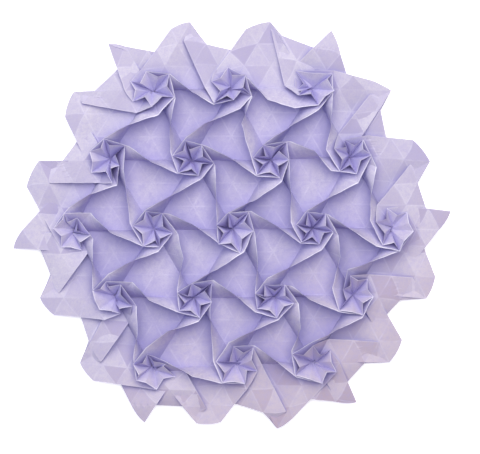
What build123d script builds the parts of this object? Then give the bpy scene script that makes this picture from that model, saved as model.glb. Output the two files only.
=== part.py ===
from build123d import *

import os
from collections import namedtuple
from math import cos, radians, sin, sqrt

# Origami tessellation: one hexagonal sheet of paper, pleated along a triangle grid.
# Every star is a twist of six pleats whose middle is sunk into a six-pointed hollow.
# The sheet lies face up on the table, with its middle star over the origin.

# Driving dimensions, in millimetres and degrees
paper = 0.16  # thickness of the sheet
grid_side = 7.5  # side of one small triangle of the creased grid
rings = 2  # rings of stars round the middle star
star_pitch = 22.9  # from star to star in the folded sheet
pleat_foot = 0.4  # width of a closed pleat at its foot, two layers of paper
seam_width = 0.2  # slit that a closed pleat leaves on the back of the sheet
seam_depth = 0.1  # depth of that slit

tip_radius = 5.7  # from the middle of a star to its points
tip_height = 4.9  # height of the points
tip_turn = 110  # turn of a point from its pleat
notch_radius = 3.0  # from the middle of a star to its inner corners
notch_height = 5.85  # height of the inner corners
notch_turn = 80  # turn of an inner corner from its pleat
elbow_radius = 6.6  # from the middle of a star to where a standing ridge turns into it
elbow_height = 4.65  # height of that turn
elbow_turn = 40  # turn of it from its pleat
star_bottom = 0.9  # height of a star's middle
corner_turn = 60  # twist of the floor corners that meet under a star

flap_reach = 18.4  # from a border star to the raw end of its ridge
flap_rise = 13  # slope of the border pleats, which lie almost flat
flap_elbow_radius = 7.7  # from a border star to where the ridge of a flap turns into it
flap_elbow_turn = 56  # turn of that place from its pleat
flap_drop = 1.3  # how much lower a border star is on the side of its flaps
half_reach = 16.0  # from a border star to the raw end of a short floor
tooth_lift = 1.0  # how far the floors at the border climb over their neighbours

# Sizes that follow from them
row = grid_side * sqrt(3) / 2  # height of one pleat
sector = 60  # the pleats leave a star in six directions
directions = ((1, 0), (0, 1), (-1, 1), (-1, 0), (0, -1), (1, -1))
stars = [
    (a, b)
    for a in range(-rings, rings + 1)
    for b in range(-rings, rings + 1)
    if abs(a + b) <= rings
]

# The two faces of the sheet: half the width of a pleat's foot, height of the floors and twist of
# the floor corners
Side = namedtuple("Side", "gap level turn")
front = Side(pleat_foot / 2, paper, corner_turn)
back = Side(seam_width / 2, 0, sector / 2)


def next_to(star, k):
    """Place on the star lattice beside a star, in direction k."""
    step = directions[k % len(directions)]
    return (star[0] + step[0], star[1] + step[1])


def place(star, k, x, y, z):
    """Point given along and to the left of the pleat that leaves a star in direction k."""
    turn = radians(sector * k)
    centre_x = star_pitch * (star[0] + star[1] / 2)
    centre_y = star_pitch * star[1] * sqrt(3) / 2
    return Vector(
        centre_x + x * cos(turn) - y * sin(turn),
        centre_y + x * sin(turn) + y * cos(turn),
        z,
    )


def polar(star, k, radius, turn, z):
    """Point at a radius from a star, turned from its pleat k."""
    angle = radians(turn)
    return place(star, k, radius * cos(angle), radius * sin(angle), z)


def drop(star, k):
    """How much lower the point of pleat k is where a border star has flaps on both its sides."""
    beside = (next_to(star, k), next_to(star, k + 1))
    return 0 if any(spot in stars for spot in beside) else flap_drop


def tip(star, k):
    """Point of a star."""
    return polar(star, k, tip_radius, tip_turn, tip_height - drop(star, k))


def notch(star, k):
    """Inner corner of a star, between the points of pleats k - 1 and k."""
    lower = (drop(star, k - 1) + drop(star, k)) / 2
    return polar(star, k, notch_radius, notch_turn, notch_height - lower)


def elbow(star, k):
    """Place where the ridge of a pleat turns into its star."""
    if next_to(star, k) in stars:
        return polar(star, k, elbow_radius, elbow_turn, elbow_height)
    return polar(star, k, flap_elbow_radius, flap_elbow_turn, elbow_height - flap_drop)


def corner(star, k, side):
    """Corner of the floor between pleats k and k + 1, under the star."""
    return polar(star, k, side.gap / sin(radians(sector / 2)), side.turn, side.level)


def foot(star, k, left, side):
    """Bottom of a pleat wall, half way between two stars."""
    return place(star, k, star_pitch / 2, left * side.gap, side.level)


def raw_foot(star, k, left, side):
    """End of a border pleat's wall, on the raw edge of the sheet."""
    if next_to(star, k + left) in stars:
        reach = side.gap / sin(radians(sector / 2))
        return polar(next_to(star, k), k, reach, 180 - left * sector / 2, side.level + tooth_lift)
    climb = tooth_lift if left < 0 else 0
    return place(star, k, half_reach, left * side.gap, side.level + climb)


def raw_ridge(star, k):
    """End of a border pleat's ridge, on the raw edge of the sheet."""
    across = row * cos(radians(flap_rise)) - front.gap
    return place(star, k, flap_reach, across, front.level + row * sin(radians(flap_rise)))


def pleat_line(star, k, side):
    """Right foot, top and left foot of a pleat, where it meets the next star or the raw edge."""
    inside = next_to(star, k) in stars
    right, left = [(foot if inside else raw_foot)(star, k, way, side) for way in (-1, 1)]
    if side is back:
        top = place(star, k, star_pitch / 2, 0, seam_depth) if inside else (right + left) / 2
    else:
        top = place(star, k, star_pitch / 2, 0, row) if inside else raw_ridge(star, k)
    return right, top, left


def front_pleat(star, k):
    """Star sector and both walls of the half pleat that leaves a star in direction k."""
    middle = place(star, k, 0, 0, star_bottom)
    point, turn = tip(star, k), elbow(star, k)
    right_notch, left_notch = notch(star, k), notch(star, k + 1)
    right_corner, left_corner = corner(star, k - 1, front), corner(star, k, front)
    right_foot, top, left_foot = pleat_line(star, k, front)
    if next_to(star, k) in stars:
        left_wall = [(turn, left_foot, left_corner), (turn, top, left_foot)]
    else:
        left_wall = [(turn, top, left_corner), (top, left_foot, left_corner)]
    return left_wall + [
        (middle, right_notch, point),
        (middle, point, left_notch),
        (right_notch, right_corner, point),
        (right_corner, turn, point),
        (right_corner, right_foot, turn),
        (turn, right_foot, top),
        (left_notch, point, left_corner),
        (point, turn, left_corner),
    ]


def back_pleat(star, k):
    """Both sides of the slit that the same half pleat leaves on the back."""
    middle = place(star, k, 0, 0, seam_depth)
    right_corner, left_corner = corner(star, k - 1, back), corner(star, k, back)
    right_foot, top, left_foot = pleat_line(star, k, back)
    return [
        (right_corner, right_foot, top),
        (right_corner, top, middle),
        (left_corner, top, left_foot),
        (left_corner, middle, top),
    ]


def floors(star, k, side):
    """Floor between pleats k and k + 1, made once for all the stars at its corners."""
    first, second = next_to(star, k), next_to(star, k + 1)
    start = corner(star, k, side)
    if first in stars and second in stars:
        if star != min(star, first, second):
            return []
        corners = ((star, k), (first, k + 2), (second, k + 4))
        return [[p for c in corners for p in (corner(*c, side), foot(*c, 1, side))]]
    if first in stars:
        half_way, far = foot(star, k, 1, side), corner(first, k + 2, side)
        end = raw_foot(star, k + 1, -1, side)
        return [(start, half_way, end), (half_way, far, end)]
    if second in stars:
        return []
    return [(start, raw_foot(star, k, 1, side), raw_foot(star, k + 1, -1, side))]


def raw_line(star, k, side):
    """Stretches of the sheet's cut edge that belong to pleat k of a border star."""
    if next_to(star, k) in stars:
        return []
    right, top, left = pleat_line(star, k, side)
    line = [(right, top), (top, left)]
    if next_to(star, k + 1) not in stars:
        line.append((left, raw_foot(star, k + 1, -1, side)))
    return line


def raw_edge(star, k):
    """Narrow faces that close the cut edge of the sheet."""
    facets = []
    for (start, end), (start_below, end_below) in zip(raw_line(star, k, front), raw_line(star, k, back)):
        facets += [(start, start_below, end), (end, start_below, end_below)]
    return facets


def facet(corners):
    """One flat face of the folded sheet."""
    with BuildLine(mode=Mode.PRIVATE) as outline:
        Polyline(*corners, close=True)
    return Face(outline.wire())


outlines = []
for star in stars:
    for k in range(len(directions)):
        outlines += front_pleat(star, k) + back_pleat(star, k) + raw_edge(star, k)
        outlines += floors(star, k, front) + floors(star, k, back)
folded_paper = Solid(Shell([facet(corners) for corners in outlines]))

with BuildPart() as folded_sheet:
    add(folded_paper)
folded_sheet.part.label = "folded_sheet"

os.makedirs("parts", exist_ok=True)
export_step(folded_sheet.part, "parts/folded_sheet.step")
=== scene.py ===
from collections import namedtuple
from math import atan, cos, floor, radians, sin, sqrt
from random import Random

import bmesh
import bpy
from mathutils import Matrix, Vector, noise


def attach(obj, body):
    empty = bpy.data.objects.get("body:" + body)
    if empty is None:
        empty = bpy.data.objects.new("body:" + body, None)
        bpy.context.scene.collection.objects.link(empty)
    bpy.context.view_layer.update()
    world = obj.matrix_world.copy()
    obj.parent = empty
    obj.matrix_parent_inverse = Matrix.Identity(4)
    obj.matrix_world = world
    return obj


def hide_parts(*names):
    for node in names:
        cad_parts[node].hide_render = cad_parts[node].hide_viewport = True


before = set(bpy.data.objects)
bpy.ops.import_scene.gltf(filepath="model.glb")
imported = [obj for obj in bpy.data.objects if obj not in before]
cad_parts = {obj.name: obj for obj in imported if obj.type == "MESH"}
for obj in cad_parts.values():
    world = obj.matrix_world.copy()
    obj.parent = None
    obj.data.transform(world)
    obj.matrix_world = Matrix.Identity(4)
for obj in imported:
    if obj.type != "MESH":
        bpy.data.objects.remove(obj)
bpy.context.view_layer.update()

# Origami tessellation: the folded sheet with the curves, shifts and worn creases of real paper,
# lying face up on a white table and seen from straight above.

# Sizes of the folded sheet, in millimetres and degrees
MM = 0.001
paper = 0.16  # thickness of the sheet
grid_side = 7.5  # side of one small triangle of the creased grid
rings = 2  # rings of stars round the middle star
star_pitch = 22.9  # from star to star in the folded sheet
pleat_foot = 0.4  # width of a closed pleat at its foot
seam_width = 0.2  # slit that a closed pleat leaves on the back of the sheet
seam_depth = 0.1  # depth of that slit
star_bottom = 0.9  # height of a star's middle
tip_height = 4.9  # height of its points
notch_height = 5.85  # height of its inner corners
elbow_height = 4.65  # height where a standing ridge turns into it
corner_turn = 60  # twist of the floor corners that meet under it
flap_drop = 2.4  # how much lower a border star is on the side of its flaps
flap_rise = 13  # slope of the border pleats, which lie almost flat
half_reach = 11.5  # from a border star to the raw end of a short floor
tooth_lift = 1.0  # how far the floors at the border climb over their neighbours

# How the paper bends, in millimetres and degrees
floor_swell = 0.35  # how far the middle of a floor triangle stands up
rim_bow = 0.05  # how far the rim of a star curves outwards
flap_swell = 0.8  # how far the feet of the border pleats stand up between star and raw edge
raw_bow = 0.5  # how far the raw end of a flap curves outwards
under_sag = 0.8  # how far the hidden wall of a flap sags at its raw end
crumple = 0.35  # how far the crossings of the grid creases stand up, at most
border_crumple = 2.0  # and how far at the border, which is loose
crumple_rows = 100  # more than the sheet has rows, so that each crossing has its own number
small_waves = ((4.5, 0.25), (2, 0.12))  # length and size of the small waves in the folds
slow_length = 13  # length of the slow waves
slow_wave = 0.9  # height of the slow waves
wave_seed = 11  # one of many such sets of waves
sharp_fold = 18  # smallest angle that shows as a crease
cuts = 8  # pieces along the edge of a facet
join_gap = 0.001  # points closer than this are one

# The crease pattern, in steps of the grid on the flat sheet
flat_pitch = 6  # from star to star
notch_step = 0.75  # from the middle of a star to its inner corners, along a pleat
tip_step = 1  # to its points
corner_step = 1.5  # to the corners of the floors round it
elbow_step = 2  # to the elbows of the ridges
raw_step = 4  # from a border star to the raw end of a ridge
half_step = 0.5  # how much further or nearer the raw ends of its feet are
flat_map = "flat"  # name of the map that holds the places on the flat sheet

# How each star came out of the folding, as steps towards +X and +Y from its place on the lattice:
# its middle, its six points and its six inner corners, both counted round from the top
folded_stars = {
    (-2, 2): [(0.3, 0.9),
              (-1.8, 6.7), (-6.4, 3.8), (-5.9, -2.0), (0.0, -3.8), (6.4, -0.9), (5.0, 5.9),
              (1.8, 5.0), (-3.5, 3.2), (-5.0, 1.2), (-2.0, -0.9), (2.9, -0.9), (4.4, 2.3)],
    (-1, 2): [(-0.3, 1.5),
              (-0.9, 7.9), (-5.9, 3.8), (-5.0, -2.6), (0.6, -1.8), (5.9, -0.6), (4.1, 5.6),
              (0.3, 5.6), (-3.2, 4.7), (-3.2, 0.9), (-1.2, -0.6), (2.9, 0.9), (3.5, 1.8)],
    (0, 2): [(0.6, 1.8),
             (-4.4, 7.0), (-4.1, 1.2), (-3.5, -0.3), (2.3, -3.2), (6.7, 0.9), (6.4, 5.9),
             (2.0, 6.1), (-2.0, 3.2), (-2.6, 0.9), (0.0, 0.0), (4.1, -0.9), (5.0, 4.4)],
    (-2, 1): [(-0.9, 1.2),
              (-2.6, 7.0), (-6.7, 3.2), (-6.4, -2.9), (0.0, -6.1), (2.0, -0.9), (3.5, 5.0),
              (-0.9, 5.0), (-3.5, 4.1), (-5.9, 0.3), (-2.0, -2.6), (-0.3, -1.8), (0.9, 2.3)],
    (-1, 1): [(0.0, 0.6),
              (-1.8, 6.4), (-5.6, 2.0), (-4.1, -3.2), (2.0, -3.8), (6.4, -0.3), (2.9, 5.0),
              (-0.6, 3.8), (-2.3, 3.5), (-2.3, 0.6), (0.0, -1.8), (2.9, -0.3), (3.2, 1.8)],
    (0, 1): [(0.0, 0.9),
             (-2.3, 5.3), (-5.3, 1.5), (-4.1, -3.5), (2.6, -4.4), (5.3, 0.9), (4.7, 5.9),
             (1.2, 4.4), (-1.5, 1.8), (-2.3, -0.6), (-0.3, -2.9), (2.0, -0.9), (2.3, 3.5)],
    (1, 1): [(0.0, 1.5),
             (-1.5, 6.7), (-4.7, 4.1), (-2.9, -2.6), (2.0, -3.2), (6.4, 2.3), (3.8, 6.7),
             (1.2, 5.0), (-1.2, 4.4), (-2.3, 0.9), (0.0, -0.6), (3.2, 0.6), (3.8, 3.8)],
    (-2, 0): [(0.6, 0.3),
              (-2.6, 5.3), (-5.9, 0.9), (-3.8, -4.7), (2.3, -5.6), (5.0, -1.2), (1.2, 3.8),
              (-1.8, 2.6), (-3.2, 3.2), (-3.5, -1.5), (-0.9, -4.7), (2.0, -3.2), (1.2, 0.3)],
    (-1, 0): [(0.3, 0.6),
              (-2.0, 5.9), (-5.6, 1.5), (-2.6, -4.4), (2.0, -4.7), (5.9, -0.6), (2.9, 5.3),
              (0.0, 4.1), (-2.6, 3.2), (-2.9, -0.9), (0.9, -2.6), (2.3, -2.0), (3.2, 1.5)],
    (0, 0): [(0.3, 0.9),
             (-0.9, 5.3), (-4.4, 1.8), (-3.8, -3.8), (2.6, -6.4), (6.4, 0.0), (5.0, 5.6),
             (2.0, 3.8), (-0.9, 1.2), (-2.3, -0.6), (0.0, -3.5), (3.2, -2.3), (3.8, 2.6)],
    (1, 0): [(0.6, 0.9),
             (-0.9, 5.6), (-4.1, 2.0), (-2.6, -3.2), (2.6, -3.8), (6.7, -0.3), (4.4, 5.3),
             (1.8, 2.9), (-1.2, 1.8), (-1.2, -0.6), (0.6, -1.8), (3.8, -0.6), (4.4, 1.5)],
    (2, 0): [(0.3, 0.6),
             (-0.6, 6.7), (-4.1, 2.6), (-2.0, -4.1), (2.9, -5.9), (7.0, 0.0), (5.3, 5.6),
             (2.3, 4.7), (-0.9, 3.5), (-1.5, -0.6), (1.2, -3.5), (4.1, -2.9), (5.6, 2.3)],
    (-1, -1): [(0.9, 0.9),
               (-2.0, 5.3), (-5.9, 2.6), (-3.8, -2.9), (2.3, -4.1), (5.6, -2.0), (2.3, 4.4),
               (-1.5, 3.8), (-3.5, 3.2), (-5.0, -0.3), (-0.6, -3.2), (2.0, -2.6), (2.3, 1.5)],
    (0, -1): [(0.6, 0.6),
              (0.0, 4.7), (-4.4, 2.0), (-3.5, -3.2), (2.3, -5.3), (5.9, -0.6), (5.9, 4.7),
              (2.9, 3.2), (-1.2, 0.9), (-2.0, -0.9), (-0.3, -3.2), (2.6, -1.5), (3.8, 2.6)],
    (1, -1): [(1.2, 0.9),
              (-1.8, 4.4), (-4.7, 1.8), (-4.1, -2.6), (1.8, -5.3), (6.7, -0.9), (4.1, 4.4),
              (1.2, 2.6), (-2.0, 0.9), (-1.8, 0.0), (-0.3, -2.9), (3.8, -1.8), (4.1, 1.2)],
    (2, -1): [(0.9, 1.2),
              (0.0, 7.0), (-2.0, 2.9), (-3.2, -3.2), (3.5, -4.4), (6.7, 0.9), (5.3, 5.9),
              (2.3, 5.6), (0.0, 4.1), (-1.2, -0.3), (0.6, -3.5), (3.8, -0.9), (5.0, 2.9)],
    (0, -2): [(0.0, 0.6),
              (-1.5, 4.1), (-5.6, 1.2), (-4.7, -3.5), (1.2, -6.4), (6.7, -2.6), (3.8, 1.2),
              (0.3, 2.0), (-2.9, 1.5), (-3.8, -1.8), (-2.0, -4.1), (3.2, -3.2), (3.2, 0.6)],
    (1, -2): [(1.2, 1.2),
              (0.6, 6.4), (-4.4, 1.8), (-2.6, -4.4), (4.1, -4.7), (7.6, -0.9), (6.4, 5.9),
              (3.5, 4.7), (-0.6, 2.0), (-2.0, -1.5), (0.9, -4.1), (4.4, -0.6), (5.9, 2.3)],
    (2, -2): [(0.6, 1.5),
              (0.6, 6.7), (-5.3, 4.1), (-4.4, -2.3), (3.5, -4.4), (7.6, -1.2), (5.9, 5.0),
              (2.9, 3.8), (-2.0, 4.1), (-3.2, 0.3), (0.0, -3.2), (4.7, -1.2), (6.1, 1.8)],
}
# How the border flaps came out, as steps from the place of their star: for the flap of each
# direction the right foot of its raw end, the end of its ridge and the elbow of the ridge
folded_flaps = {
    (2, 0): {5: [(10.8, -19.6), (13.6, -13.2), (8.2, 0.6)],
             0: [(14.6, 0.3), (18.1, 5.8), (4.9, 7.3)],
             1: [(8.5, 14.0), (6.1, 19.3), (-3.5, 7.6)]},
    (1, 1): {0: [(23.4, 0.4), (18.5, 6.8), (5.3, 8.0)],
             1: [(9.1, 15.3), (5.9, 19.9), (-3.2, 8.5)]},
    (0, 2): {0: [(23.7, 1.3), (17.9, 4.2), (6.9, 7.0)],
             1: [(8.8, 11.8), (6.2, 18.8), (-4.9, 8.0)],
             2: [(-8.1, 17.4), (-11.3, 18.5), (-7.5, 2.7)]},
    (-1, 2): {1: [(11.3, 21.3), (4.2, 19.1), (-5.4, 6.0)],
              2: [(-7.2, 14.7), (-13.9, 15.6), (-7.8, 2.2)]},
    (-2, 2): {1: [(10.8, 21.2), (5.2, 19.1), (-3.3, 7.4)],
              2: [(-8.0, 14.2), (-12.9, 14.7), (-8.0, 1.0)],
              3: [(-17.0, 1.3), (-20.5, -2.5), (-4.7, -5.4)]},
    (-2, 1): {2: [(-11.7, 20.8), (-14.2, 13.5), (-8.5, 1.8)],
              3: [(-14.9, 0.6), (-18.5, -5.8), (-4.1, -5.8)]},
    (-2, 0): {2: [(-10.2, 20.5), (-13.9, 12.9), (-7.2, 0.9)],
              3: [(-14.9, 0.6), (-17.8, -5.1), (-2.9, -5.8)],
              4: [(-7.0, -12.6), (-4.4, -18.0), (4.7, -5.6)]},
    (-1, -1): {3: [(-21.4, 0.5), (-17.3, -4.7), (-2.4, -5.9)],
               4: [(-7.2, -12.1), (-3.5, -18.2), (4.7, -6.5)]},
    (0, -2): {3: [(-21.3, 1.3), (-17.3, -3.9), (-3.9, -5.7)],
              4: [(-6.5, -10.4), (-2.4, -16.1), (4.9, -5.1)],
              5: [(9.3, -11.5), (15.6, -11.8), (9.6, -1.0)]},
    (1, -2): {4: [(-10.2, -16.3), (-3.1, -15.9), (4.5, -6.3)],
              5: [(9.2, -13.1), (15.9, -12.7), (8.9, 0.8)]},
    (2, -2): {4: [(-9.6, -17.8), (-4.9, -14.7), (4.0, -5.4)],
              5: [(7.4, -10.1), (13.5, -10.1), (8.5, 1.6)],
              0: [(15.9, 1.1), (19.9, 7.5), (5.3, 8.4)]},
    (2, -1): {5: [(11.7, -18.5), (15.4, -11.9), (8.2, 0.5)],
              0: [(14.7, -0.4), (18.3, 6.4), (5.9, 7.3)]},
}
# How the standing ridges came out: their elbows beside each star, by direction, as steps from the
# place of the star
folded_elbows = {
    (-2, 2): {0: (5.2, 5.9), 4: (1.8, -6.0), 5: (6.7, -1.3)},
    (-1, 2): {0: (5.1, 4.5), 3: (-5.1, -3.1), 4: (2.5, -4.3), 5: (6.0, -0.8)},
    (0, 2): {3: (-4.6, -4.0), 4: (2.4, -4.6), 5: (6.4, -1.0)},
    (-2, 1): {0: (4.7, 4.9), 1: (-2.5, 7.2), 4: (1.2, -6.7), 5: (3.2, -2.0)},
    (-1, 1): {0: (4.9, 4.7), 1: (-1.7, 7.5), 2: (-6.2, 3.0),
              3: (-4.4, -3.2), 4: (2.5, -5.1), 5: (6.8, -0.8)},
    (0, 1): {0: (5.7, 6.2), 1: (-1.3, 6.1), 2: (-6.0, 2.1),
             3: (-4.1, -3.9), 4: (3.2, -5.6), 5: (5.5, -0.2)},
    (1, 1): {2: (-7.0, 3.9), 3: (-5.5, -2.3), 4: (2.4, -5.9), 5: (7.8, -1.4)},
    (-2, 0): {0: (5.0, 5.3), 1: (-1.4, 7.0), 5: (5.7, -2.3)},
    (-1, 0): {0: (4.9, 5.0), 1: (-2.1, 6.3), 2: (-6.5, 2.3),
              3: (-2.8, -4.4), 4: (1.7, -6.0), 5: (7.5, -0.9)},
    (0, 0): {0: (5.9, 5.9), 1: (-0.9, 5.4), 2: (-4.2, 2.0),
             3: (-3.7, -3.5), 4: (3.7, -6.1), 5: (7.0, -1.2)},
    (1, 0): {0: (5.3, 4.8), 1: (-0.8, 6.1), 2: (-5.8, 2.6),
             3: (-2.9, -3.5), 4: (3.3, -5.6), 5: (8.2, -1.2)},
    (2, 0): {2: (-5.7, 3.2), 3: (-3.8, -4.4), 4: (2.6, -6.0)},
    (-1, -1): {0: (5.8, 5.1), 1: (-1.2, 7.5), 2: (-5.9, 3.5), 5: (7.0, -2.1)},
    (0, -1): {0: (6.3, 5.7), 1: (1.4, 5.5), 2: (-4.4, 2.9),
              3: (-4.5, -3.6), 4: (1.9, -6.5), 5: (5.4, -1.5)},
    (1, -1): {0: (6.0, 4.0), 1: (-0.8, 6.4), 2: (-4.6, 2.6),
              3: (-4.6, -3.6), 4: (2.2, -5.9), 5: (8.2, -1.2)},
    (2, -1): {1: (-0.6, 8.8), 2: (-5.2, 3.5), 3: (-3.2, -3.6), 4: (3.5, -5.3)},
    (0, -2): {0: (4.4, 1.7), 1: (-1.8, 6.0), 2: (-5.5, 3.4)},
    (1, -2): {0: (6.6, 6.6), 1: (-0.7, 7.5), 2: (-5.3, 1.9), 3: (-3.1, -4.5)},
    (2, -2): {1: (0.7, 7.8), 2: (-5.6, 5.0), 3: (-4.0, -2.8)},
}
# and their tops, as steps from half way between the places of a star and of the next one in the
# first three directions
folded_tops = {
    (-2, 2): {0: (0.0, 0.6)},
    (-1, 2): {0: (-1.0, -1.7)},
    (-2, 1): {0: (0.0, 0.0), 1: (-1.4, 0.8)},
    (-1, 1): {0: (0.0, 1.0), 1: (-2.1, 1.2), 2: (-0.7, -0.4)},
    (0, 1): {0: (1.0, 3.3), 1: (-0.5, 0.3), 2: (-2.7, 1.3)},
    (1, 1): {2: (0.2, 0.4)},
    (-2, 0): {0: (-0.6, -0.3), 1: (-1.1, 0.7)},
    (-1, 0): {0: (0.0, 2.2), 1: (-0.5, 0.3), 2: (-1.6, -0.9)},
    (0, 0): {0: (0.0, 2.5), 1: (1.4, -0.8), 2: (1.3, 0.7)},
    (1, 0): {0: (0.0, 0.5), 1: (0.0, 0.0), 2: (0.0, 0.0)},
    (2, 0): {2: (0.2, 0.0)},
    (-1, -1): {0: (-0.9, 0.0), 1: (-1.2, 0.7), 2: (-0.1, 0.0)},
    (0, -1): {0: (0.0, 2.2), 1: (1.8, -1.0), 2: (3.3, 2.0)},
    (1, -1): {0: (0.0, 0.0), 1: (0.3, -0.2), 2: (2.0, 0.9)},
    (2, -1): {1: (-1.0, 0.6), 2: (2.8, 2.6)},
    (0, -2): {0: (0.0, -2.2), 1: (-1.3, 0.7), 2: (1.4, -0.1)},
    (1, -2): {0: (0.0, 3.3), 1: (-0.7, 0.4), 2: (-0.2, 0.3)},
    (2, -2): {1: (-0.1, 0.1), 2: (2.9, 1.7)},
}

# Sizes that follow from them
row_share = sqrt(3) / 2  # height of a grid triangle as a share of its side
row = grid_side * row_share  # height of one pleat
directions = ((1, 0), (0, 1), (-1, 1), (-1, 0), (0, -1), (1, -1))
turns = len(directions)
half_turn, third_turn = turns // 2, turns // 3
sector = 360 / turns
first_tip, first_notch = 1, 1 + turns  # where points and inner corners start in a folded star
flap_foot, flap_ridge, flap_elbow = range(3)  # the order in a folded flap
stars = [
    (a, b)
    for a in range(-rings, rings + 1)
    for b in range(-rings, rings + 1)
    if abs(a + b) <= rings
]

# The two faces of the sheet: half the width of a pleat's foot, height of the floors and twist of
# the floor corners
Side = namedtuple("Side", "gap level turn")
front = Side(pleat_foot / 2, paper, corner_turn)
back = Side(seam_width / 2, 0, sector / 2)

# A corner of a facet: its kind, its place in the folded sheet, its place on the flat sheet and
# the middle of its star
Corner = namedtuple("Corner", "kind spot flat hub")


# Places
def next_to(star, k):
    """Place on the star lattice beside a star, in direction k."""
    step = directions[k % turns]
    return (star[0] + step[0], star[1] + step[1])


def lattice(star):
    """Place of a star on the lattice."""
    return Vector((star_pitch * (star[0] + star[1] / 2), star_pitch * star[1] * row_share, 0))


def shift(star):
    """How far a star has moved, or the stars beside a place outside the lattice."""
    if star in stars:
        points = folded_stars[star][:first_notch]
        return Vector((sum(p[0] for p in points), sum(p[1] for p in points), 0)) / len(points)
    beside = [shift(next_to(star, k)) for k in range(turns) if next_to(star, k) in stars]
    return sum(beside, Vector()) / max(len(beside), 1)


def centre(star):
    """Middle of a star on the table."""
    return lattice(star) + shift(star)


def folded(star, number, height):
    """Point of a folded star at a height."""
    x, y = folded_stars[star][number]
    return lattice(star) + Vector((x, y, height))


def flap_point(star, k, number, height):
    """Point of a folded border flap at a height."""
    x, y = folded_flaps[star][k % turns][number]
    return lattice(star) + Vector((x, y, height))


def turned(k, x, y, z=0):
    """Step along and to the left of direction k."""
    turn = radians(sector * k)
    return Vector((x * cos(turn) - y * sin(turn), x * sin(turn) + y * cos(turn), z))


def place(star, k, x, y, z):
    """Point given along and to the left of the pleat that leaves a star in direction k."""
    return centre(star) + turned(k, x, y, z)


def polar(star, k, radius, turn, z):
    """Point at a radius from a star, turned from its pleat k."""
    angle = radians(turn)
    return place(star, k, radius * cos(angle), radius * sin(angle), z)


def half_way(star, k, across, height):
    """Point on a pleat half way between its two stars."""
    ends = (centre(star) + centre(next_to(star, k))) / 2
    return ends + turned(k, 0, across, height)


def flat(star, k, x, y):
    """Place on the flat sheet, in grid steps along and to the left of direction k."""
    hub = Vector((flat_pitch * (star[0] + star[1] / 2), flat_pitch * star[1] * row_share, 0))
    return (hub + turned(k, x, y)).to_2d()


# Corners of the facets
def corner_of(kind, star, k, spot, x, y):
    """Corner that belongs to pleat k of a star, with its place on the flat sheet."""
    return Corner(kind, spot, flat(star, k, x, y), centre(star))


def middle(star, side):
    """Sunk middle of a star, or the crossing of the slits behind it."""
    spot = folded(star, 0, star_bottom) if side is front else place(star, 0, 0, 0, seam_depth)
    return corner_of("middle", star, 0, spot, 0, 0)


def drop(star, k):
    """How much lower the point of pleat k is where a border star has flaps on both its sides."""
    beside = (next_to(star, k), next_to(star, k + 1))
    return 0 if any(spot in stars for spot in beside) else flap_drop


def tip(star, k):
    """Point of a star."""
    spot = folded(star, first_tip + k % turns, tip_height - drop(star, k))
    return corner_of("tip", star, k, spot, tip_step, 0)


def notch(star, k):
    """Inner corner of a star, between the points of pleats k - 1 and k."""
    lower = (drop(star, k - 1) + drop(star, k)) / 2
    spot = folded(star, first_notch + k % turns, notch_height - lower)
    return corner_of("notch", star, k, spot, notch_step, -row_share / 2)


def elbow(star, k):
    """Place where the ridge of a pleat turns into its star."""
    if next_to(star, k) in stars:
        x, y = folded_elbows[star][k % turns]
        spot = lattice(star) + Vector((x, y, elbow_height))
    else:
        spot = flap_point(star, k, flap_elbow, elbow_height - flap_drop)
    return corner_of("elbow", star, k, spot, elbow_step, 0)


def floor_corner(star, k, side):
    """Corner of the floor between pleats k and k + 1, under the star."""
    spot = polar(star, k, side.gap / sin(radians(sector / 2)), side.turn, side.level)
    return corner_of("corner", star, k, spot, corner_step, row_share)


def standing_top(star, k):
    """Top of a standing pleat, half way between two stars, lower where it leans further."""
    if k % turns >= half_turn:
        star, k = next_to(star, k), k - half_turn
    x, y = folded_tops[star][k % turns]
    spot = (lattice(star) + lattice(next_to(star, k))) / 2 + Vector((x, y, 0))
    leaning = (spot - half_way(star, k, 0, 0)).length
    return spot + Vector((0, 0, sqrt(row ** 2 - leaning ** 2)))


def foot(star, k, left, side):
    """Bottom of a pleat wall, half way between two stars."""
    spot = half_way(star, k, left * side.gap, side.level)
    return corner_of("foot", star, k, spot, flat_pitch / 2, left * row_share)


def raw_foot(star, k, left, side):
    """End of a border pleat's wall, on the raw edge of the sheet."""
    beside = next_to(star, k + left)
    along = raw_step + half_step if beside in stars else raw_step - half_step
    lifted = side.level + tooth_lift
    if left < 0:
        return corner_of("raw_right", star, k, flap_point(star, k, flap_foot, lifted), along, -row_share)
    if beside in stars:
        spot = flap_point(beside, k - 1, flap_foot, lifted)
    else:
        spot = place(star, k, half_reach, side.gap, side.level)
    return corner_of("raw_left", star, k, spot, along, row_share)


def raw_ridge(star, k):
    """End of a border pleat's ridge, on the raw edge of the sheet."""
    spot = flap_point(star, k, flap_ridge, front.level + row * sin(radians(flap_rise)))
    return corner_of("raw_ridge", star, k, spot, raw_step, 0)


def pleat_line(star, k, side):
    """Right foot, top and left foot of a pleat, where it meets the next star or the raw edge."""
    inside = next_to(star, k) in stars
    right, left = [(foot if inside else raw_foot)(star, k, way, side) for way in (-1, 1)]
    if inside:
        spot = standing_top(star, k) if side is front else half_way(star, k, 0, seam_depth)
        top = corner_of("top", star, k, spot, flat_pitch / 2, 0)
    elif side is front:
        top = raw_ridge(star, k)
    else:
        spot = (right.spot + left.spot) / 2
        spot.z = 0
        top = corner_of("raw_seam", star, k, spot, raw_step, 0)
    return right, top, left


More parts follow.
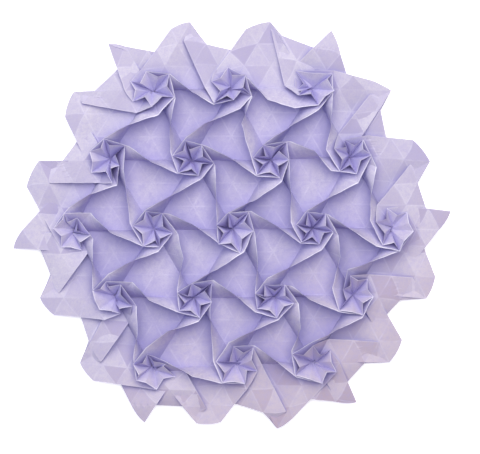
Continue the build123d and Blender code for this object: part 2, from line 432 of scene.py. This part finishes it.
# Facets
def front_pleat(star, k):
    """Star sector and both walls of the half pleat that leaves a star in direction k."""
    hub, point, turn = middle(star, front), tip(star, k), elbow(star, k)
    right_notch, left_notch = notch(star, k), notch(star, k + 1)
    right_corner, left_corner = floor_corner(star, k - 1, front), floor_corner(star, k, front)
    right_foot, top, left_foot = pleat_line(star, k, front)
    return [
        (hub, right_notch, point),
        (hub, point, left_notch),
        (right_notch, right_corner, point),
        (right_corner, turn, point),
        (right_corner, right_foot, top, turn),
        (turn, top, left_foot, left_corner),
        (left_notch, point, left_corner),
        (point, turn, left_corner),
    ]


def back_pleat(star, k):
    """Both sides of the slit that the same half pleat leaves on the back."""
    hub = middle(star, back)
    right_corner, left_corner = floor_corner(star, k - 1, back), floor_corner(star, k, back)
    right_foot, top, left_foot = pleat_line(star, k, back)
    return [
        (right_corner, right_foot, top),
        (right_corner, top, hub),
        (left_corner, top, left_foot),
        (left_corner, hub, top),
    ]


def fan(corners):
    """Facets from the swollen middle of a floor to its corners."""
    count = len(corners)
    spot = sum((c.spot for c in corners), Vector()) / count + Vector((0, 0, floor_swell))
    flat_spot = sum((c.flat for c in corners), Vector((0, 0))) / count
    heart = Corner("heart", spot, flat_spot, spot)
    return [(heart, corners[i], corners[(i + 1) % count]) for i in range(count)]


def floors(star, k, side):
    """Floor between pleats k and k + 1, made once for all the stars at its corners."""
    first, second = next_to(star, k), next_to(star, k + 1)
    start = floor_corner(star, k, side)
    if first in stars and second in stars:
        if star != min(star, first, second):
            return []
        ring = ((star, k), (first, k + third_turn), (second, k + 2 * third_turn))
        return fan([p for c in ring for p in (floor_corner(*c, side), foot(*c, 1, side))])
    if first in stars:
        near, far = foot(star, k, 1, side), floor_corner(first, k + third_turn, side)
        end = raw_foot(star, k + 1, -1, side)
        return [(start, near, end), (near, far, end)]
    if second in stars:
        return []
    return [(start, raw_foot(star, k, 1, side), raw_foot(star, k + 1, -1, side))]


def raw_line(star, k, side):
    """Stretches of the sheet's cut edge that belong to pleat k of a border star."""
    if next_to(star, k) in stars:
        return []
    right, top, left = pleat_line(star, k, side)
    line = [(right, top), (top, left)]
    if next_to(star, k + 1) not in stars:
        line.append((left, raw_foot(star, k + 1, -1, side)))
    return line


def raw_edge(star, k):
    """Narrow facets that close the cut edge of the sheet."""
    facets = []
    above, below = raw_line(star, k, front), raw_line(star, k, back)
    for (start, end), (start_below, end_below) in zip(above, below):
        facets += [(start, start_below, end), (end, start_below, end_below)]
    return facets


# Bent paper
def outward(one, other):
    """Level direction from a star to the middle between two of its corners."""
    away = (one.spot + other.spot) / 2 - one.hub
    away.z = 0
    return away.normalized()


def bow(one, other):
    """How far the middle of the edge between two corners leaves the straight line."""
    kinds = {one.kind, other.kind}
    if kinds == {"elbow", "tip"}:
        return outward(one, other) * rim_bow
    if kinds in ({"corner", "raw_right"}, {"corner", "raw_left"}):
        return Vector((0, 0, flap_swell))
    if kinds == {"raw_left", "raw_ridge"}:
        return Vector((0, 0, -under_sag))
    if kinds == {"raw_right", "raw_ridge"}:
        return outward(one, other) * raw_bow
    return Vector()


def blend(corners, shares):
    """Place in the folded sheet and on the flat sheet, from the shares of the corners."""
    spot = sum((c.spot * share for c, share in zip(corners, shares)), Vector())
    on_sheet = sum((c.flat * share for c, share in zip(corners, shares)), Vector((0, 0)))
    return spot, on_sheet


def arch(share, rest):
    """Height of an even arch of height 1, for the shares of its two ends."""
    return 4 * share * rest


def three_sided(corners):
    """Points and triangles of a facet with three bowed edges."""
    points = {}
    trios = []
    for i in range(cuts + 1):
        for j in range(cuts + 1 - i):
            shares = ((cuts - i - j) / cuts, i / cuts, j / cuts)
            spot, on_sheet = blend(corners, shares)
            for a, b in ((0, 1), (1, 2), (2, 0)):
                spot += bow(corners[a], corners[b]) * arch(shares[a], shares[b])
            points[i, j] = (spot, on_sheet)
            if i + j < cuts:
                trios.append(((i, j), (i + 1, j), (i, j + 1)))
            if i + j < cuts - 1:
                trios.append(((i + 1, j), (i + 1, j + 1), (i, j + 1)))
    return points, trios


def four_sided(corners):
    """Points and triangles of a twisted wall with four bowed edges."""
    first, second, third, fourth = corners
    points = {}
    trios = []
    for i in range(cuts + 1):
        for j in range(cuts + 1):
            u, v = i / cuts, j / cuts
            spot, on_sheet = blend(corners, ((1 - u) * (1 - v), u * (1 - v), u * v, (1 - u) * v))
            spot += (bow(first, second) * (1 - v) + bow(fourth, third) * v) * arch(u, 1 - u)
            spot += (bow(first, fourth) * (1 - u) + bow(second, third) * u) * arch(v, 1 - v)
            points[i, j] = (spot, on_sheet)
            if i < cuts and j < cuts:
                trios.append(((i, j), (i + 1, j), (i + 1, j + 1)))
                trios.append(((i, j), (i + 1, j + 1), (i, j + 1)))
    return points, trios


def knot(i, j):
    """Height that the paper has kept at a crossing of the grid creases."""
    ring = max(abs(i), abs(j), abs(i + j))
    most = border_crumple if ring > flat_pitch * rings else crumple
    return most * Random(crumple_rows * i + j).random()


def crumpled(on_sheet):
    """Height of the paper between the creases of its grid, flat inside each small triangle."""
    j = on_sheet.y / row_share
    i = on_sheet.x - j / 2
    low_i, low_j = floor(i), floor(j)
    u, v = i - low_i, j - low_j
    right, left = knot(low_i + 1, low_j), knot(low_i, low_j + 1)
    if u + v <= 1:
        return knot(low_i, low_j) * (1 - u - v) + right * u + left * v
    return knot(low_i + 1, low_j + 1) * (u + v - 1) + right * (1 - v) + left * (1 - u)


def settled(spot, on_sheet):
    """The same point after the paper has settled, with waves that fade out towards the table."""
    wave = Vector()
    for length, size in small_waves:
        wave += noise.noise_vector(spot / length) * size
    wave.z += noise.noise_vector(spot / slow_length).z * slow_wave
    fade = min(max(spot.z, 0) / row, 1)
    return spot + wave * fade + Vector((0, 0, crumpled(on_sheet)))


def paper_mesh():
    """The sheet as a fine closed mesh, with its place on the flat sheet as the UV map."""
    noise.seed_set(wave_seed)
    shape = bmesh.new()
    uv = shape.loops.layers.uv.new(flat_map)
    facets = []
    for star in stars:
        for k in range(turns):
            facets += front_pleat(star, k) + floors(star, k, front)
            facets += back_pleat(star, k) + floors(star, k, back) + raw_edge(star, k)
    for corners in facets:
        points, trios = (three_sided if len(corners) == 3 else four_sided)(corners)
        verts = {key: shape.verts.new(settled(*point) * MM) for key, point in points.items()}
        for trio in trios:
            face = shape.faces.new([verts[key] for key in trio])
            face.smooth = True
            for loop, key in zip(face.loops, trio):
                loop[uv].uv = points[key][1]
    bmesh.ops.remove_doubles(shape, verts=shape.verts, dist=join_gap * MM)
    bmesh.ops.recalc_face_normals(shape, faces=shape.faces)
    mesh = bpy.data.meshes.new("folded_paper")
    shape.to_mesh(mesh)
    shape.free()
    mesh.set_sharp_from_angle(angle=radians(sharp_fold))
    return mesh


# Look of the paper: colours, noise scales per metre, and lines in rows of the grid
floor_colours = ((0.66, 0.625, 0.745, 1), (0.7, 0.64, 0.71, 1))
border_colours = ((0.64, 0.61, 0.71, 1), (0.68, 0.63, 0.68, 1))
border_start, border_full = 12.2, 13.2  # rows from the middle where the loose border begins
cloud_scale, cloud_detail = 45.0, 2.0
painted_warm_shade_axis = (0.45, -0.9, 0.0)  # towards the lower right, where painted warm shade makes the paper pinker and darker
line_full, line_end = 0.02, 0.06  # half the width of a pale ridge line, worn and with a painted highlight, and where it ends
crease_full, crease_end = 0.01, 0.05  # the same for a crease of the grid
half_row = 0.5  # farthest from a crease of the grid
rim_row = 1.0  # the rim of a star is one row from its middle
rim_edge = 0.02  # ridges fade out over this much on both sides of a rim
rim_share = 0.75  # how pale the rims of the stars are
border_ridge_share, inner_ridge_share = 0.15, 0.8  # how pale all ridges are, and the inner ones more
wear_scale, wear_detail = 220.0, 5.0
wear_full, wear_end = 0.66, 0.36
wear_share = 0.5  # how much paler a line is where it is most worn
crease_share = 0.02  # how pale a crease of the grid is
worn_crease_share = 0.2  # how much paler where it is worn
border_crease_share = 0.03  # and at the border
# Pale ridge and rim lines: partly wear, partly a painted highlight of the rounded folds
worn_and_highlight_colour = (0.92, 0.89, 0.97, 1)
crease_colour = (0.8, 0.77, 0.88, 1)
# Painted shade on grid triangles picked at random, in place of triangles tilted away from the light: cool,
# and warm towards the lower right
painted_shade_cool, painted_shade_warm = (0.36, 0.31, 0.5, 1), (0.4, 0.29, 0.36, 1)
triangle_shade_share, border_triangle_shade_share = 0.22, 0.4  # how strongly painted shade darkens a grid triangle, and how much more at the border
triangle_shade_power = 2.0  # makes the triangles with painted shade few
mottle_scale, mottle_detail, mottle_roughness = 750.0, 5.0, 0.75
border_mottle_share = -0.25  # change of the mottle's share at the border
grain_scale, grain_detail = 2600.0, 4.0
grain_height = 0.0001  # metres
grain_strength = 0.25
crease_depth = 2.0  # depth of a crease beside the grain
paper_roughness = 0.85
paper_shine = 0.25
shade_samples = 8

# A tint: the value at which it is full, the value at which it ends, its share and its colour
Tint = namedtuple("Tint", "full end share colour")
# Painted warm shade on the lower right, the side away from the window: pinker and darker
painted_warm_shade_tint = Tint(0.06, 0.0, 0.7, (0.62, 0.53, 0.58, 1))
grain_tint = Tint(0.7, 0.3, 0.5, (0.54, 0.5, 0.65, 1))
mottle_tint = Tint(0.66, 0.4, 0.6, (0.46, 0.41, 0.63, 1))
# How far the shade under the folds reaches in metres, and its tint
shades = (
    (0.01, Tint(0.3, 0.95, 0.75, (0.4, 0.37, 0.71, 1))),
    (0.004, Tint(0.05, 0.5, 0.75, (0.22, 0.18, 0.42, 1))),
)

# Where a place lies on the creased grid, in rows: from the nearest and the farthest line through
# the stars beside it, from the nearest crease and from the middle, and in which small triangle
Grid = namedtuple("Grid", "nearest farthest crease reach triangle")


class Nodes:
    """Short way to add shader nodes and join them."""

    first_colour, second_colour, mixed_colour = 6, 7, 2  # colour sockets of a mix node

    def __init__(self, name):
        self.material = bpy.data.materials.new(name)
        self.material.use_nodes = True
        self.tree = self.material.node_tree
        self.tree.nodes.clear()

    def add(self, kind, inputs=None, **settings):
        """Node with its settings and inputs, which are values, nodes or sockets."""
        node = self.tree.nodes.new(kind)
        for key, value in settings.items():
            setattr(node, key, value)
        for key, value in (inputs or {}).items():
            self.put(value, node.inputs[key])
        return node

    def put(self, value, socket):
        """Join a node or socket to a socket, or set its value."""
        if hasattr(value, "outputs"):
            value = value.outputs[0]
        if hasattr(value, "links"):
            self.tree.links.new(value, socket)
        else:
            socket.default_value = value

    def math(self, operation, *values):
        """Sum, product or another operation on values."""
        return self.add("ShaderNodeMath", dict(enumerate(values)), operation=operation)

    def pick(self, operation, values):
        """Smallest or largest of three values."""
        return self.math(operation, self.math(operation, values[0], values[1]), values[2])

    def dot(self, first, second):
        """How far one vector reaches along another."""
        node = self.add("ShaderNodeVectorMath", {0: first, 1: second}, operation="DOT_PRODUCT")
        return node.outputs["Value"]

    def noise(self, vector, scale, **inputs):
        """Cloudy noise."""
        return self.add("ShaderNodeTexNoise", {"Vector": vector, "Scale": scale, **inputs})

    def fade(self, value, full, end):
        """1 as far as the first value and 0 from the other one on, smoothly."""
        inputs = {"Value": value, "From Min": full, "From Max": end, "To Min": 1.0, "To Max": 0.0}
        return self.add("ShaderNodeMapRange", inputs, interpolation_type="SMOOTHSTEP")

    def mix(self, share, first, second):
        """Mix of two colours, with a share of the second one."""
        node = self.add("ShaderNodeMix", {"Factor": share}, data_type="RGBA")
        self.put(first, node.inputs[self.first_colour])
        self.put(second, node.inputs[self.second_colour])
        return node.outputs[self.mixed_colour]

    def tinted(self, colour, value, tint, share):
        """Colour with a share of a tint that fades with a value."""
        covered = self.math("MULTIPLY", self.fade(value, tint.full, tint.end), share)
        return self.mix(covered, colour, tint.colour)


def grid_place(n):
    """Where a place on the sheet lies on its creased grid."""
    sheet = n.add("ShaderNodeUVMap", uv_map=flat_map).outputs["UV"]
    lines, creases, cells, reaches = [], [], [], []
    for turn in (0, sector, 2 * sector):
        across = (-sin(radians(turn)) / row_share, cos(radians(turn)) / row_share, 0)
        along = n.dot(sheet, across)
        lines.append(n.math("ABSOLUTE", n.math("WRAP", along, flat_pitch / 2, -flat_pitch / 2)))
        creases.append(n.math("PINGPONG", along, half_row))
        cells.append(n.math("FLOOR", along))
        reaches.append(n.math("ABSOLUTE", along))
    triangle = n.add("ShaderNodeCombineXYZ", dict(zip("XYZ", cells)))
    nearest, farthest = n.pick("MINIMUM", lines), n.pick("MAXIMUM", lines)
    return Grid(nearest, farthest, n.pick("MINIMUM", creases), n.pick("MAXIMUM", reaches), triangle)


def worn_and_highlight_lines(n, grid, inner, wear):
    """How pale the ridges and the rims of the stars are: worn, and with a painted highlight of the rounded
    folds.
    """
    outside = n.fade(grid.farthest, rim_row + rim_edge, rim_row - rim_edge)
    pale = n.math("MULTIPLY_ADD", inner, inner_ridge_share, border_ridge_share)
    ridge = n.math("MULTIPLY", n.fade(grid.nearest, line_full, line_end), outside)
    ridge = n.math("MULTIPLY", ridge, pale)
    from_rim = n.math("ABSOLUTE", n.math("SUBTRACT", grid.farthest, rim_row))
    rim = n.math("MULTIPLY", n.fade(from_rim, line_full, line_end), rim_share)
    worn = n.math("MULTIPLY_ADD", wear, wear_share, 1 - wear_share)
    return n.math("MULTIPLY", n.math("MAXIMUM", ridge, rim), worn)


def faint_creases(n, grid, loose, wear):
    """How pale the creases of the grid are."""
    worn = n.math("MULTIPLY_ADD", wear, worn_crease_share, crease_share)
    marked = n.math("MULTIPLY_ADD", loose, border_crease_share, worn)
    return n.math("MULTIPLY", n.fade(grid.crease, crease_full, crease_end), marked)


def paper_colour(n, grid, inner, loose, grain):
    """Lavender with clouds, painted warm shade to the lower right, painted shade on random grid triangles,
    mottle and painted blue shade in the folds.
    """
    solid = n.add("ShaderNodeTexCoord").outputs["Object"]
    cloud = n.noise(solid, cloud_scale, Detail=cloud_detail)
    colour = n.mix(inner, n.mix(cloud, *border_colours), n.mix(cloud, *floor_colours))
    colour = n.tinted(colour, grain, grain_tint, grain_tint.share)
    low = n.dot(solid, painted_warm_shade_axis)
    # painted warm shade towards the lower right
    colour = n.tinted(colour, low, painted_warm_shade_tint, painted_warm_shade_tint.share)
    # painted shade on grid triangles picked at random
    chance = n.add("ShaderNodeTexWhiteNoise", {"Vector": grid.triangle}).outputs["Value"]
    most = n.math("MULTIPLY_ADD", loose, border_triangle_shade_share, triangle_shade_share)
    painted_triangle_shade = n.mix(n.fade(low, painted_warm_shade_tint.full, painted_warm_shade_tint.end), painted_shade_cool, painted_shade_warm)
    colour = n.mix(n.math("MULTIPLY", n.math("POWER", chance, triangle_shade_power), most), colour, painted_triangle_shade)
    mottle = n.noise(solid, mottle_scale, Detail=mottle_detail, Roughness=mottle_roughness)
    share = n.math("MULTIPLY_ADD", loose, border_mottle_share, mottle_tint.share)
    colour = n.tinted(colour, mottle, mottle_tint, share)
    for distance, tint in shades:
        inputs = {"Distance": distance}
        sky = n.add("ShaderNodeAmbientOcclusion", inputs, samples=shade_samples, only_local=True)
        colour = n.tinted(colour, sky.outputs["AO"], tint, tint.share)
    return colour


def paper_material():
    """Matte lavender paper: grain, faint grid creases, and pale lines on the ridges, worn and with a painted
    highlight.
    """
    n = Nodes("lavender_paper")
    solid = n.add("ShaderNodeTexCoord").outputs["Object"]
    grid = grid_place(n)
    inner = n.fade(grid.reach, border_start, border_full)
    loose = n.math("SUBTRACT", 1.0, inner)
    wear = n.fade(n.noise(solid, wear_scale, Detail=wear_detail), wear_full, wear_end)
    grain = n.noise(solid, grain_scale, Detail=grain_detail)
    colour = paper_colour(n, grid, inner, loose, grain)
    colour = n.mix(faint_creases(n, grid, loose, wear), colour, crease_colour)
    # pale ridges and rims: wear with a painted highlight
    colour = n.mix(worn_and_highlight_lines(n, grid, inner, wear), colour, worn_and_highlight_colour)
    height = n.math("ADD", grain, n.math("MULTIPLY", grid.crease, crease_depth))
    relief = {"Height": height, "Strength": grain_strength, "Distance": grain_height}
    bump = n.add("ShaderNodeBump", relief)
    matte = {"Base Color": colour, "Roughness": paper_roughness, "Normal": bump}
    surface = n.add("ShaderNodeBsdfPrincipled", {**matte, "Specular IOR Level": paper_shine})
    n.add("ShaderNodeOutputMaterial", {"Surface": surface})
    return n.material


# The table, in metres
table_size = 3
table_colours = ((0.9, 0.9, 0.9, 1), (0.94, 0.94, 0.94, 1))
table_scale = 30.0
table_glow = 0.55


def table_material():
    """White table that keeps the shadow of the paper."""
    n = Nodes("white_table")
    solid = n.add("ShaderNodeTexCoord").outputs["Object"]
    colour = n.mix(n.noise(solid, table_scale), *table_colours)
    matte = n.add("ShaderNodeBsdfDiffuse", {"Color": colour})
    glow = n.add("ShaderNodeEmission", {"Color": (1, 1, 1, 1), "Strength": table_glow})
    seen = n.add("ShaderNodeLightPath").outputs["Is Camera Ray"]
    both = n.add("ShaderNodeAddShader", {0: matte, 1: glow})
    surface = n.add("ShaderNodeMixShader", {0: seen, 1: matte, 2: both})
    n.add("ShaderNodeOutputMaterial", {"Surface": surface})
    return n.material


# The paper
sheet = bpy.data.objects.new("folded_paper", paper_mesh())
bpy.context.collection.objects.link(sheet)
sheet.data.materials.append(paper_material())
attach(sheet, "root")
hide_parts("folded_sheet")

# The table under it
bpy.ops.mesh.primitive_plane_add(size=table_size)
table = bpy.context.object
table.name = "table"
table.data.materials.append(table_material())

# Light: cool light all round, a broad soft window over the top of the paper, a faint warm light
# from the lower right and a faint cool one from the left
sky_colour = (0.6, 0.65, 1.0, 1)
sky_strength = 0.4
world = bpy.data.worlds.new("studio")
bpy.context.scene.world = world
world.use_nodes = True
sky = world.node_tree.nodes["Background"]
sky.inputs["Color"].default_value = sky_colour
sky.inputs["Strength"].default_value = sky_strength


def lamp(name, spot, size, watts, colour):
    """Square light that faces the middle of the paper."""
    light = bpy.data.lights.new(name, "AREA")
    light.size = size
    light.energy = watts
    light.color = colour
    holder = bpy.data.objects.new(name, light)
    bpy.context.collection.objects.link(holder)
    holder.location = spot
    holder.rotation_euler = (-Vector(spot)).to_track_quat("-Z", "Y").to_euler()


lamp("window", spot=(0.0, 0.2, 0.4), size=0.6, watts=2.8, colour=(1.0, 0.97, 0.9))
lamp("warm_fill", spot=(0.4, -0.5, 0.3), size=0.4, watts=0.6, colour=(1.0, 0.74, 0.7))
lamp("cool_fill", spot=(-0.6, 0.1, 0.3), size=0.4, watts=0.4, colour=(0.55, 0.65, 1.0))

# Camera straight above the paper, in metres
camera_height = 0.5
view_width = 0.1404  # width of the picture on the table
view_x, view_y = 0.0025, 0.0012  # middle of the picture
camera = bpy.data.objects.new("camera", bpy.data.cameras.new("camera"))
camera.location = (view_x, view_y, camera_height)
camera.data.angle = 2 * atan(view_width / 2 / camera_height)
bpy.context.collection.objects.link(camera)
bpy.context.scene.camera = camera
bpy.context.scene.view_settings.view_transform = "Standard"
